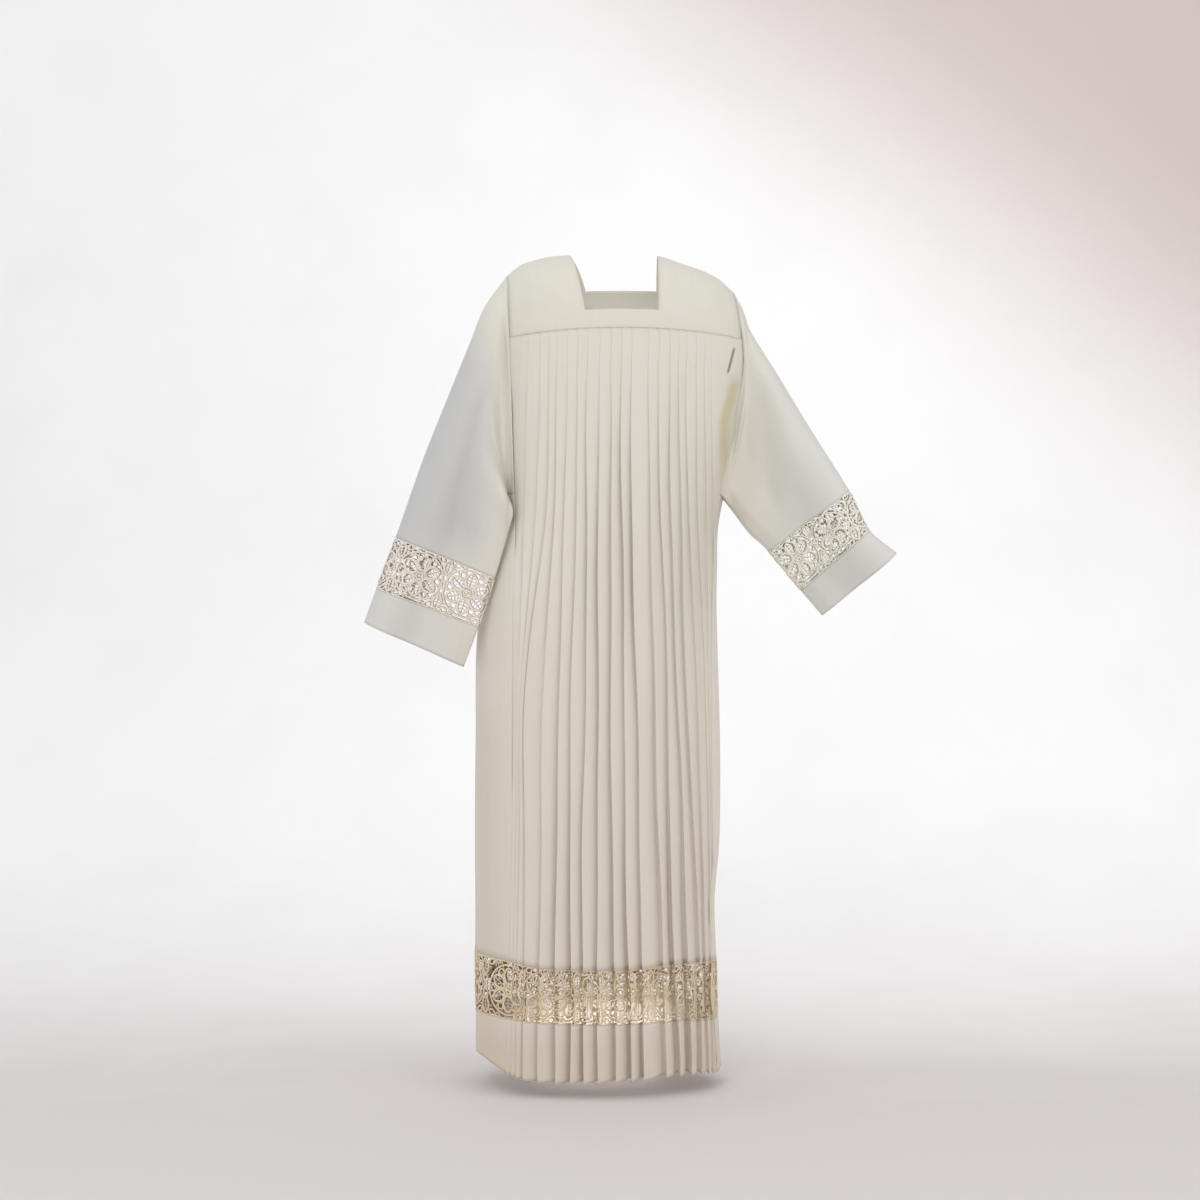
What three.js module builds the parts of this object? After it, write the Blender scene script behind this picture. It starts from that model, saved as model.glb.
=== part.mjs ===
import * as THREE from 'three';

// A pleated alb with a square yoke and lace insertions, open and hollow as it hangs on its wearer.
// Millimetres, +Z up. The wearer faces -Y, so the wearer's right is towards -X, the left towards +X.
// The origin is midway between the shoulders, at the height where they carry the yoke.

// Driving dimensions
const wall = 1.2; // thickness of the cloth
const seamGap = 0.3; // room between two pieces at a seam
const armholeGap = 0.9; // the same, along X, where the armhole's edge leans
const outlineRoundness = 2.3; // exponent of the body's outline: 2 is an ellipse
const underarmZ = -425;
const yokeSeam = { middleZ: -129, sag: 16, reach: 222 }; // the seam hangs lower by sag at x = reach
const neck = { frontZ: -98, backZ: -46, rightAtShoulder: -96, rightAtChest: -63, left: 68 };

// The body's outline: where its sides are, and how far its front and back bulge, by height
const body = [
  { z: -143, right: -213, left: 231, front: 118, back: 104 },
  { z: -200, right: -211, left: 232, front: 122, back: 107 },
  { z: -312, right: -208, left: 214, front: 128, back: 112 },
  { z: -425, right: -202, left: 190, front: 133, back: 118 },
  { z: -490, right: -207, left: 179, front: 135, back: 121 },
  { z: -560, right: -232, left: 178, front: 137, back: 124 },
  { z: -617, right: -249, left: 177, front: 139, back: 126 },
  { z: -700, right: -260, left: 178, front: 141, back: 130 },
  { z: -900, right: -264, left: 181, front: 147, back: 138 },
  { z: -1060, right: -265, left: 179, front: 152, back: 145 },
  { z: -1165, right: -265, left: 171, front: 156, back: 150 },
  { z: -1270, right: -266, left: 175, front: 160, back: 155 },
  { z: -1370, right: -266, left: 178, front: 164, back: 159 },
  { z: -1480, right: -266, left: 184, front: 168, back: 163 },
];

// Where the seams between the pleated panels and the side panels run
const sideSeams = [
  { z: -143, frontRight: -200, frontLeft: 221, backRight: -200, backLeft: 221 },
  { z: -200, frontRight: -198, frontLeft: 222, backRight: -198, backLeft: 222 },
  { z: -312, frontRight: -195, frontLeft: 204, backRight: -195, backLeft: 204 },
  { z: -425, frontRight: -192, frontLeft: 180, backRight: -192, backLeft: 180 },
  { z: -490, frontRight: -190, frontLeft: 170, backRight: -195, backLeft: 164 },
  { z: -560, frontRight: -191, frontLeft: 169, backRight: -218, backLeft: 150 },
  { z: -617, frontRight: -192, frontLeft: 168, backRight: -233, backLeft: 140 },
  { z: -700, frontRight: -192, frontLeft: 168, backRight: -243, backLeft: 130 },
  { z: -900, frontRight: -192, frontLeft: 169, backRight: -246, backLeft: 128 },
  { z: -1060, frontRight: -194, frontLeft: 170, backRight: -246, backLeft: 126 },
  { z: -1165, frontRight: -196, frontLeft: 163, backRight: -246, backLeft: 120 },
  { z: -1270, frontRight: -199, frontLeft: 167, backRight: -246, backLeft: 124 },
  { z: -1370, frontRight: -202, frontLeft: 170, backRight: -246, backLeft: 127 },
  { z: -1480, frontRight: -207, frontLeft: 177, backRight: -247, backLeft: 132 },
];

// Heights of the three lowest seams and edges across the width; the right side hangs higher
const levels = [
  { x: -266, laceTop: -1256, laceBottom: -1361, hem: -1429 },
  { x: -225, laceTop: -1259, laceBottom: -1363, hem: -1452 },
  { x: -187, laceTop: -1264, laceBottom: -1366, hem: -1468 },
  { x: -143, laceTop: -1272, laceBottom: -1369, hem: -1474 },
  { x: 0, laceTop: -1274, laceBottom: -1370, hem: -1471 },
  { x: 110, laceTop: -1268, laceBottom: -1368, hem: -1465 },
  { x: 184, laceTop: -1271, laceBottom: -1377, hem: -1474 },
];

// The proud edge of each pleat, across the front, at the heights of pleatHeights;
// kept is the share of its depth that a pleat still has below the hips
const pleatHeights = { chest: -438, hip: -794, knee: -1060, hem: -1441 };
const pleats = [
  { chest: -172, hip: -184, knee: -187, hem: -196, kept: 0.1 },
  { chest: -149, hip: -179, knee: -181, hem: -187, kept: 0.15 },
  { chest: -133, hip: -171, knee: -171, hem: -175, kept: 0.4 },
  { chest: -117, hip: -140, knee: -140, hem: -150, kept: 0.7 },
  { chest: -98, hip: -110, knee: -115, hem: -116, kept: 1 },
  { chest: -79, hip: -87, knee: -90, hem: -90, kept: 1 },
  { chest: -60, hip: -63, knee: -67, hem: -67, kept: 1 },
  { chest: -38, hip: -40, knee: -42, hem: -40, kept: 1 },
  { chest: -17, hip: -16, knee: -15, hem: -10, kept: 1 },
  { chest: 3, hip: 6, knee: 10, hem: 18, kept: 1 },
  { chest: 21, hip: 29, knee: 33, hem: 43, kept: 1 },
  { chest: 52, hip: 63, knee: 68, hem: 81, kept: 1 },
  { chest: 72, hip: 84, knee: 90, hem: 105, kept: 1 },
  { chest: 92, hip: 102, knee: 113, hem: 130, kept: 1 },
  { chest: 108, hip: 120, knee: 134, hem: 148, kept: 0.8 },
  { chest: 123, hip: 138, knee: 149, hem: 160, kept: 0.5 },
  { chest: 141, hip: 154, knee: 161, hem: 169, kept: 0.25 },
];
const pleatFold = [
  { z: -143, depth: 2.5, overhang: 1 },
  { z: -438, depth: 6, overhang: 2 },
  { z: -794, depth: 9, overhang: 3 },
  { z: -1060, depth: 13, overhang: 4 },
  { z: -1480, depth: 20, overhang: 5 },
];
const pleatsAtYoke = 0.96; // how close together they are sewn there, against their places at the chest
const pleatsFade = { from: -500, to: -750 }; // where the pleats at the sides lose their depth
const hemTooth = { proud: -1, sunk: 3 }; // how the hem's height follows the folds

// Height of the shoulder line, which is also where the front and back yokes meet
const shoulderLine = [
  { x: -207, z: -27 },
  { x: -190, z: -12 },
  { x: -174, z: -3 },
  { x: -115, z: 10 },
  { x: 66, z: 10 },
  { x: 111, z: -4 },
  { x: 150, z: -17 },
  { x: 180, z: -33 },
  { x: 205, z: -56 },
];

// Sleeves: their upper edge on the arm, their lower edge, half the thickness round the arm and of
// the cloth that hangs below it, at shares of the way from the armhole to the cuff's end
const sleeveRight = [
  { share: 0, topX: -207, topY: 0, topZ: -27, lowX: -202, lowY: 0, lowZ: -424, arm: 50, hang: 44 },
  { share: 0.08, topX: -247, topY: -1, topZ: -82, lowX: -206, lowY: -4, lowZ: -424, arm: 52, hang: 38 },
  { share: 0.17, topX: -272, topY: -3, topZ: -143, lowX: -206, lowY: -30, lowZ: -425, arm: 53, hang: 32 },
  { share: 0.34, topX: -316, topY: -12, topZ: -253, lowX: -193, lowY: -68, lowZ: -456, arm: 52, hang: 25 },
  { share: 0.51, topX: -359, topY: -25, topZ: -363, lowX: -202, lowY: -64, lowZ: -494, arm: 49, hang: 20 },
  { share: 0.74, topX: -407, topY: -42, topZ: -503, lowX: -226, lowY: -69, lowZ: -577, arm: 44, hang: 16 },
  { share: 0.88, topX: -441, topY: -52, topZ: -595, lowX: -256, lowY: -66, lowZ: -666, arm: 41, hang: 15 },
  { share: 1, topX: -463, topY: -60, topZ: -657, lowX: -283, lowY: -63, lowZ: -738, arm: 40, hang: 15 },
];
const sleeveLeft = [
  { share: 0, topX: 205, topY: 0, topZ: -56, lowX: 190, lowY: 0, lowZ: -424, arm: 48, hang: 44 },
  { share: 0.06, topX: 223, topY: -1, topZ: -88, lowX: 194, lowY: -3, lowZ: -431, arm: 50, hang: 38 },
  { share: 0.12, topX: 236, topY: -5, topZ: -124, lowX: 200, lowY: -7, lowZ: -443, arm: 52, hang: 33 },
  { share: 0.27, topX: 280, topY: -35, topZ: -200, lowX: 212, lowY: -22, lowZ: -466, arm: 55, hang: 29 },
  { share: 0.5, topX: 343, topY: -100, topZ: -315, lowX: 236, lowY: -48, lowZ: -499, arm: 56, hang: 25 },
  { share: 0.74, topX: 401, topY: -185, topZ: -422, lowX: 266, lowY: -80, lowZ: -529, arm: 53, hang: 22 },
  { share: 0.88, topX: 431, topY: -240, topZ: -491, lowX: 321, lowY: -130, lowZ: -599, arm: 50, hang: 21 },
  { share: 1, topX: 474, topY: -280, topZ: -532, lowX: 355, lowY: -175, lowZ: -642, arm: 48, hang: 20 },
];
const sleeveSeams = { laceTop: 0.74, laceBottom: 0.88 };
const sleeveBlend = 0.3; // share over which the armhole's shape passes into the hanging sleeve's
const armToCloth = 2.6; // how many arm radii down the round arm has passed into the flat hanging cloth
const sharpestMitre = 0.35; // cosine of half the turn, past which a corner's mitre grows no longer
const lowerFold = { half: 5, rounding: 25 }; // the sleeve's folded lower edge

// Rows and columns of facets
const bodyRows = [-200, -270, -345, underarmZ, -490, -570, -660, -800, -950, -1110];
const yokeFacets = { side: 4, bottom: 14, down: 5 };
const sidePanelFacets = 8;
const bandFacets = 2; // down each band of the skirt and each band of a sleeve
const sleeveFacets = { along: 10, underarm: 4 };

// Colours, roughness and so on of the two cloths
const ivoryCloth = new THREE.MeshStandardMaterial({ color: 0xd9d4c4, roughness: 0.85, metalness: 0 });
const goldenLace = new THREE.MeshStandardMaterial({ color: 0xcdb08f, roughness: 0.8, metalness: 0 });

const front = -1;
const back = 1;
const lerp = THREE.MathUtils.lerp;
const smoothstep = THREE.MathUtils.smoothstep;

// The value of a named column where the table's key column is at, on a smooth curve through its rows
function read(table, key, at, column) {
  const ascending = table[0][key] < table[table.length - 1][key];
  const rows = ascending ? table : [...table].reverse();
  const last = rows.length - 1;
  const x = THREE.MathUtils.clamp(at, rows[0][key], rows[last][key]);
  let i = 0;
  while (i < last - 1 && x > rows[i + 1][key]) i += 1;
  const slope = (a, b) => (rows[b][column] - rows[a][column]) / (rows[b][key] - rows[a][key]);
  const startSlope = slope(Math.max(i - 1, 0), i + 1);
  const endSlope = slope(i, Math.min(i + 2, last));
  const span = rows[i + 1][key] - rows[i][key];
  const t = (x - rows[i][key]) / span;
  const here = rows[i][column];
  const next = rows[i + 1][column];
  return (
    here * (2 * t ** 3 - 3 * t ** 2 + 1) + startSlope * span * (t ** 3 - 2 * t ** 2 + t) +
    next * (3 * t ** 2 - 2 * t ** 3) + endSlope * span * (t ** 3 - t ** 2)
  );
}

// Body: a rounded outline at every height, walked anticlockwise seen from above

function outlineAt(z) {
  const right = read(body, 'z', z, 'right');
  const left = read(body, 'z', z, 'left');
  return {
    middle: (right + left) / 2,
    half: (left - right) / 2,
    front: read(body, 'z', z, 'front'),
    back: read(body, 'z', z, 'back'),
  };
}

// The angle on the outline that lies at x, on the front or the back
function angleAt(face, x, z) {
  const { middle, half } = outlineAt(z);
  const across = THREE.MathUtils.clamp((x - middle) / half, -1, 1);
  return face * Math.acos(Math.sign(across) * Math.abs(across) ** (outlineRoundness / 2));
}

function outlinePoint(angle, z) {
  const { middle, half, front: frontDepth, back: backDepth } = outlineAt(z);
  const rounded = (value) => Math.sign(value) * Math.abs(value) ** (2 / outlineRoundness);
  const y = rounded(Math.sin(angle));
  const x = middle + half * rounded(Math.cos(angle));
  return new THREE.Vector3(x, y * (y < 0 ? frontDepth : backDepth), z);
}

// Direction of travel along the outline, level
function outlineTangent(angle, z) {
  const step = 0.02;
  return outlinePoint(angle + step, z).sub(outlinePoint(angle - step, z)).setZ(0).normalize();
}

function inwardFrom(along) {
  return new THREE.Vector3(-along.y, along.x, 0);
}

function seamX(face, side, z) {
  return read(sideSeams, 'z', z, (face === front ? 'front' : 'back') + side);
}

// Where a row meets a side seam, for a row whose height depends on x
function seamPlace(face, side, heightAt) {
  let x = seamX(face, side, heightAt(0));
  for (let i = 0; i < 4; i += 1) x = seamX(face, side, heightAt(x));
  const z = heightAt(x);
  return { x, z, angle: angleAt(face, x, z) };
}

// Where a pleat's proud edge lies between the panel's two side seams, from 0 to 1
function pleatShare(pleat, z) {
  const { chest, hip, knee, hem } = pleatHeights;
  const line = [
    { z: yokeSeam.middleZ, x: pleat.chest * pleatsAtYoke },
    { z: chest, x: pleat.chest },
    { z: hip, x: pleat.hip },
    { z: knee, x: pleat.knee },
    { z: hem, x: pleat.hem },
  ];
  const right = seamX(front, 'Right', z);
  return (read(line, 'z', z, 'x') - right) / (seamX(front, 'Left', z) - right);
}

// One row of a pleated panel: each pleat runs from its proud edge down to a fold that the next
// pleat covers. heightAt gives the row's height from x.
function pleatedRow(face, heightAt, tooth = { proud: 0, sunk: 0 }) {
  const first = seamPlace(face, face === front ? 'Right' : 'Left', heightAt);
  const last = seamPlace(face, face === front ? 'Left' : 'Right', heightAt);
  const rowZ = heightAt(0);
  const foldDepth = read(pleatFold, 'z', rowZ, 'depth');
  const overhang = read(pleatFold, 'z', rowZ, 'overhang');
  const place = (x, forward, depth, lift) => {
    const z = heightAt(x);
    const angle = angleAt(face, x, z);
    const along = outlineTangent(angle, z);
    const inward = inwardFrom(along);
    const point = outlinePoint(angle, z).addScaledVector(along, forward).addScaledVector(inward, depth);
    return point.setZ(z + lift);
  };
  const row = [place(first.x, 0, 0, 0)];
  for (const pleat of pleats) {
    const x = lerp(first.x, last.x, pleatShare(pleat, rowZ));
    const kept = lerp(1, pleat.kept, smoothstep(-rowZ, -pleatsFade.from, -pleatsFade.to));
    row.push(place(x, overhang * kept, foldDepth * kept, tooth.sunk * kept));
    row.push(place(x, 0, 0, tooth.proud));
  }
  row.push(place(last.x, 0, 0, 0));
  row.ends = [first, last].map(({ angle, z }) => inwardFrom(outlineTangent(angle, z)));
  return row;
}

// One row of a side panel, from the edge of one pleated panel to the edge of the next
function sideRow(side, heightAt) {
  const startFace = side === 'Left' ? front : back;
  const start = seamPlace(startFace, side, heightAt);
  const end = seamPlace(-startFace, side, heightAt);
  const turn = side === 'Left' ? 0 : 2 * Math.PI;
  const gapAngle = ({ angle, z }) => {
    const step = 0.01;
    return (seamGap * step) / outlinePoint(angle, z).distanceTo(outlinePoint(angle + step, z));
  };
  const from = start.angle + gapAngle(start);
  const to = end.angle + turn - gapAngle(end);
  const row = [];
  for (let i = 0; i <= sidePanelFacets; i += 1) {
    const share = i / sidePanelFacets;
    const angle = lerp(from, to, share);
    const { x } = outlinePoint(angle, lerp(start.z, end.z, share));
    row.push(outlinePoint(angle, heightAt(x)));
  }
  row.ends = [start, end].map(({ angle, z }) => inwardFrom(outlineTangent(angle, z)));
  return row;
}

// The wall's other face: the row moved inwards by the wall, with mitred corners, in its own height.
// Its ends move square to the body's outline, as the neighbours' do.
function innerRow(row) {
  const last = row.length - 1;
  return row.map((point, i) => {
    if (i === 0 || i === last) return point.clone().addScaledVector(row.ends[i === 0 ? 0 : 1], wall);
    const [into, out] = [[row[i - 1], point], [point, row[i + 1]]]
      .map(([a, b]) => inwardFrom(b.clone().sub(a).setZ(0).normalize()));
    const inward = into.clone().add(out).normalize();
    return point.clone().addScaledVector(inward, wall / Math.max(inward.dot(into), sharpestMitre));
  });
}

// Yoke: a saddle over the shoulders. across runs from -1 at the right armhole to 1 at the left,
// down from 0 on the shoulder line to 1 at the yoke seam.

function yokeSeamZ(x) {
  return yokeSeam.middleZ - yokeSeam.sag * Math.min(Math.abs(x) / yokeSeam.reach, 1) ** 2;
}

function yokeEdge(across, down) {
  const shoulder = across < 0 ? shoulderLine[0].x : shoulderLine[shoulderLine.length - 1].x;
  const seam = across < 0 ? sideSeams[0].frontRight : sideSeams[0].frontLeft;
  return Math.abs(lerp(shoulder, seam, down));
}

function yokePoint(face, across, down) {
  const atSeam = across * yokeEdge(across, 1);
  const ridge = read(shoulderLine, 'x', across * yokeEdge(across, 0), 'z');
  const seamZ = yokeSeamZ(atSeam);
  const depth = outlinePoint(angleAt(face, atSeam, seamZ), seamZ).y;
  const turn = (down * Math.PI) / 2;
  const y = depth * Math.sin(turn) + (face * seamGap) / 2;
  return new THREE.Vector3(across * yokeEdge(across, down), y, lerp(seamZ, ridge, Math.cos(turn)));
}

function yokeInner(face, across, down) {
  const step = 0.01;
  const right = Math.max(across - step, -1);
  const left = Math.min(across + step, 1);
  const alongX = yokePoint(face, left, down).sub(yokePoint(face, right, down));
  const alongDown = yokePoint(face, across, down + step).sub(yokePoint(face, across, down - step));
  const outward = alongDown.cross(alongX).multiplyScalar(-face).normalize();
  return yokePoint(face, across, down).addScaledVector(outward, -wall);
}

// How far down the yoke the neck's lower edge runs
function neckDown(face, x) {
  const z = face === front ? neck.frontZ : neck.backZ;
  const ridge = read(shoulderLine, 'x', x, 'z');
  const seamZ = yokeSeamZ(x);
  return Math.acos((z - seamZ) / (ridge - seamZ)) / (Math.PI / 2);
}

// The yoke is cut round the neck: its grid runs down one side of the neck, across and up the other
function yokeGeometry(face) {
  const corner = { right: neckDown(face, neck.rightAtChest), left: neckDown(face, neck.left) };
  const rightX = (down) => lerp(neck.rightAtShoulder, neck.rightAtChest, Math.min(down / corner.right, 1));
  const lines = [];
  for (let i = 0; i <= yokeFacets.side; i += 1) {
    const down = i / yokeFacets.side;
    const inner = { x: rightX(down * corner.right), down: down * corner.right };
    lines.push({ inner, outer: { across: -1, down } });
  }
  for (let i = 1; i < yokeFacets.bottom; i += 1) {
    const share = i / yokeFacets.bottom;
    const inner = { x: lerp(rightX(1), neck.left, share), down: lerp(corner.right, corner.left, share) };
    lines.push({ inner, outer: { across: lerp(-1, 1, share), down: 1 } });
  }
  for (let i = yokeFacets.side; i >= 0; i -= 1) {
    const down = i / yokeFacets.side;
    lines.push({ inner: { x: neck.left, down: down * corner.left }, outer: { across: 1, down } });
  }
  if (face === back) lines.reverse();
  const outside = [];
  const inside = [];
  for (let r = 0; r <= yokeFacets.down; r += 1) {
    const share = r / yokeFacets.down;
    const places = lines.map(({ inner, outer }) => {
      const start = inner.x / yokeEdge(inner.x, inner.down);
      return [lerp(start, outer.across, share), lerp(inner.down, outer.down, share)];
    });
    outside.push(places.map(([across, down]) => yokePoint(face, across, down)));
    inside.push(places.map(([across, down]) => yokeInner(face, across, down)));
  }
  return wallGeometry(outside, inside);
}

// Sleeves

// The armhole's edge, from the shoulder down the front, under the arm and up the back. Each point
// says how far down the sleeve's section it lies and on which side: -1 front, 1 back.
function armhole(side) {
  const sign = side === 'Left' ? 1 : -1;
  const edge = (face) => {
    const points = [];
    for (let i = 1; i <= yokeFacets.side; i += 1) {
      points.push(yokePoint(face, sign, i / yokeFacets.side));
    }
    for (const z of bodyRows.filter((row) => row >= underarmZ)) {
      points.push(outlinePoint(angleAt(face, seamX(face, side, z), z), z));
    }
    return points;
  };
  const top = yokePoint(front, sign, 0).setY(0);
  const under = sideRowUnder(side);
  const height = top.z - underarmZ;
  const marked = (points, lateral) =>
    points.map((point) => ({ point, down: (top.z - point.z) / height, lateral }));
  const bottom = under.map((point, i) => {
    const lateral = lerp(-1, 1, (i + 1) / (under.length + 1));
    return { point, down: 1, lateral };
  });
  const loop = [
    { point: top, down: 0, lateral: 0 },
    ...marked(edge(front), -1),
    ...bottom,
    ...marked(edge(back), 1).reverse(),
  ];
  for (const { point } of loop) point.x += sign * armholeGap;
  for (const { point } of bottom) point.z += armholeGap / 2;
  return side === 'Left' ? [loop[0], ...loop.slice(1).reverse()] : loop;
}

// Points along the top edge of a side panel, from front to back, without its ends
function sideRowUnder(side) {
  const row = sideRow(side, () => underarmZ);
  if (side === 'Right') row.reverse();
  const every = sidePanelFacets / sleeveFacets.underarm;
  return row.filter((_, i) => i % every === 0 && i > 0 && i < sidePanelFacets);
}

// A point of the hanging sleeve: round the arm at the top, flat below and folded at its lower edge
function sleevePoint(table, share, down, lateral) {
  const at = (column, s = share) => read(table, 'share', s, column);
  const top = new THREE.Vector3(at('topX'), at('topY'), at('topZ'));
  const low = new THREE.Vector3(at('lowX'), at('lowY'), at('lowZ'));
  const step = 0.02;
  const [before, after] = [Math.max(share - step, 0), Math.min(share + step, 1)];
  const axis = new THREE.Vector3(
    at('topX', after) - at('topX', before),
    at('topY', after) - at('topY', before),
    at('topZ', after) - at('topZ', before),
  ).normalize();
  const drop = low.clone().sub(top);
  const length = drop.length();
  const slant = axis.clone().cross(drop.clone().normalize()).length();
  const arm = at('arm');
  const hang = at('hang');
  const distance = down * length * slant;
  const left = (1 - down) * length;
  const round = Math.sqrt(Math.max(arm ** 2 - Math.max(arm - distance, 0) ** 2, 0));
  const easing = smoothstep(distance, arm, arm * armToCloth);
  const lower = lerp(lowerFold.half, hang, Math.sqrt(Math.min(left / lowerFold.rounding, 1)));
  const half = lerp(round, Math.min(hang, lower), easing);
  return top.addScaledVector(drop, down).add(new THREE.Vector3(0, half * lateral, 0));
}

// Rings of a stretch of sleeve between two shares of its length
function sleeveRings(side, from, to, steps) {
  const table = side === 'Left' ? sleeveLeft : sleeveRight;
  const loop = armhole(side);
  const rings = [];
  for (let r = 0; r <= steps; r += 1) {
    const share = lerp(from, to, r / steps);
    const fade = Math.max(1 - share / sleeveBlend, 0) ** 2;
    rings.push(loop.map(({ point, down, lateral }) => {
      const shift = point.clone().sub(sleevePoint(table, 0, down, lateral));
      return sleevePoint(table, share, down, lateral).addScaledVector(shift, fade);
    }));
  }
  return rings;
}

// The inside of a stretch of sleeve: every point moved in by the wall against the cloth's normal.
// At the armhole it moves in the armhole's own plane and, where the edge runs down, out along the
// arm as well, to clear the body. At the other seams it stays in the seam's plane.
function sleeveInside(side, rings) {
  const count = rings[0].length;
  return rings.map((ring, r) => {
    const ahead = rings[Math.min(r + 1, rings.length - 1)];
    const behind = rings[Math.max(r - 1, 0)];
    return ring.map((point, c) => {
      const along = ahead[c].clone().sub(behind[c]);
      const round = ring[(c + 1) % count].clone().sub(ring[(c + count - 1) % count]);
      const outOfBody = new THREE.Vector3(side === 'Left' ? 1 : -1, 0, 0);
      const atArmhole = behind === ring && isArmhole(ring, side);
      const inward = round.clone().cross(atArmhole ? outOfBody : along).normalize();
      if (atArmhole) {
        inward.addScaledVector(outOfBody, Math.abs(round.z) / round.length());
      } else if (ahead === ring || behind === ring) {
        const normal = ringNormal(ring);
        const lean = inward.dot(normal);
        inward.addScaledVector(normal, -lean).divideScalar(1 - lean ** 2);
      }
      return point.clone().addScaledVector(inward, wall);
    });
  });
}

function ringNormal(ring) {
  const sum = new THREE.Vector3();
  ring.forEach((point, i) => sum.add(point.clone().cross(ring[(i + 1) % ring.length])));
  return sum.normalize();
}

function isArmhole(ring, side) {
  return ring[0].distanceTo(armhole(side)[0].point) < seamGap;
}

function sleeveGeometry(side, from, to, steps) {
  const rings = sleeveRings(side, from, to, steps);
  return wallGeometry(rings, sleeveInside(side, rings), true);
}

// A closed wall between two grids of points of the same size, with faces pointing out. Rows run
// down the piece and columns anticlockwise round it; a closed one joins its last column to its first.
function wallGeometry(outside, inside, closed = false) {
  const rows = outside.length;
  const columns = outside[0].length;
  const points = [...outside.flat(), ...inside.flat()];
  const out = (r, c) => r * columns + (c % columns);
  const inn = (r, c) => rows * columns + out(r, c);
  const triangles = [];
  const quad = (a, b, c, d) => triangles.push(a, b, c, a, c, d);
  const lastColumn = closed ? columns : columns - 1;
  for (let c = 0; c < lastColumn; c += 1) {
    for (let r = 0; r < rows - 1; r += 1) {
      quad(out(r, c), out(r + 1, c), out(r + 1, c + 1), out(r, c + 1));
      quad(inn(r, c), inn(r, c + 1), inn(r + 1, c + 1), inn(r + 1, c));
    }
    quad(out(0, c + 1), inn(0, c + 1), inn(0, c), out(0, c));
    quad(out(rows - 1, c), inn(rows - 1, c), inn(rows - 1, c + 1), out(rows - 1, c + 1));
  }
  for (let r = 0; r < rows - 1 && !closed; r += 1) {
    quad(out(r, 0), inn(r, 0), inn(r + 1, 0), out(r + 1, 0));
    quad(out(r + 1, columns - 1), inn(r + 1, columns - 1), inn(r, columns - 1), out(r, columns - 1));
  }
  const geometry = new THREE.BufferGeometry().setFromPoints(points);
  geometry.setIndex(triangles);
  geometry.computeVertexNormals();
  return geometry;
}

// Heights between two edges that each depend on x
function between(upper, lower, steps) {
  const rows = [];
  for (let i = 0; i <= steps; i += 1) rows.push((x) => lerp(upper(x), lower(x), i / steps));
  return rows;
}

const level = (name, shift = 0) => (x) => read(levels, 'x', x, name) + shift;
const laceTop = level('laceTop', seamGap);
const fixedRows = (highest) => bodyRows.filter((z) => z <= highest).map((z) => () => z);
const panelHeights = [(x) => yokeSeamZ(x) - seamGap, ...fixedRows(0), laceTop];
const sideHeights = [...fixedRows(underarmZ), laceTop];
const laceHeights = between(level('laceTop'), level('laceBottom'), bandFacets);
const hemHeights = between(level('laceBottom', -seamGap), level('hem'), bandFacets);

function pleatedGeometry(face, heights, lastTooth) {
  const lowest = heights.length - 1;
  const rows = heights.map((height, i) => pleatedRow(face, height, i === lowest ? lastTooth : undefined));
  return wallGeometry(rows, rows.map(innerRow));
}

function sideGeometry(side, heights) {
  const rows = heights.map((height) => sideRow(side, height));
  return wallGeometry(rows, rows.map(innerRow));
}

const garment = new THREE.Group();

function addPiece(name, geometry, material) {
  const piece = new THREE.Mesh(geometry, material);
  piece.name = name;
  garment.add(piece);
}

for (const [name, face] of [['front', front], ['back', back]]) {
  addPiece(`yoke_${name}`, yokeGeometry(face), ivoryCloth);
  addPiece(`pleated_${name}`, pleatedGeometry(face, panelHeights), ivoryCloth);
  addPiece(`lace_${name}`, pleatedGeometry(face, laceHeights), goldenLace);
  addPiece(`hem_${name}`, pleatedGeometry(face, hemHeights, hemTooth), ivoryCloth);
}
for (const side of ['Right', 'Left']) {
  const name = side.toLowerCase();
  const { laceTop: start, laceBottom: end } = sleeveSeams;
  const table = side === 'Left' ? sleeveLeft : sleeveRight;
  const upperEdge = new THREE.Vector3(table[0].topX, table[0].topY, table[0].topZ);
  const cuffEdge = table[table.length - 1];
  const gap = seamGap / upperEdge.distanceTo(new THREE.Vector3(cuffEdge.topX, cuffEdge.topY, cuffEdge.topZ));
  addPiece(`side_${name}`, sideGeometry(side, sideHeights), ivoryCloth);
  addPiece(`lace_side_${name}`, sideGeometry(side, laceHeights), goldenLace);
  addPiece(`hem_side_${name}`, sideGeometry(side, hemHeights), ivoryCloth);
  addPiece(`sleeve_${name}`, sleeveGeometry(side, 0, start - gap, sleeveFacets.along), ivoryCloth);
  addPiece(`sleeve_lace_${name}`, sleeveGeometry(side, start, end, bandFacets), goldenLace);
  addPiece(`cuff_${name}`, sleeveGeometry(side, end + gap, 1, bandFacets), ivoryCloth);
}

export default garment;
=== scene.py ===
from functools import lru_cache
from math import acos, copysign, cos, exp, floor, hypot, inf, pi, radians, sin, sqrt

import bmesh
import bpy
from mathutils import Matrix, Vector


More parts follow.
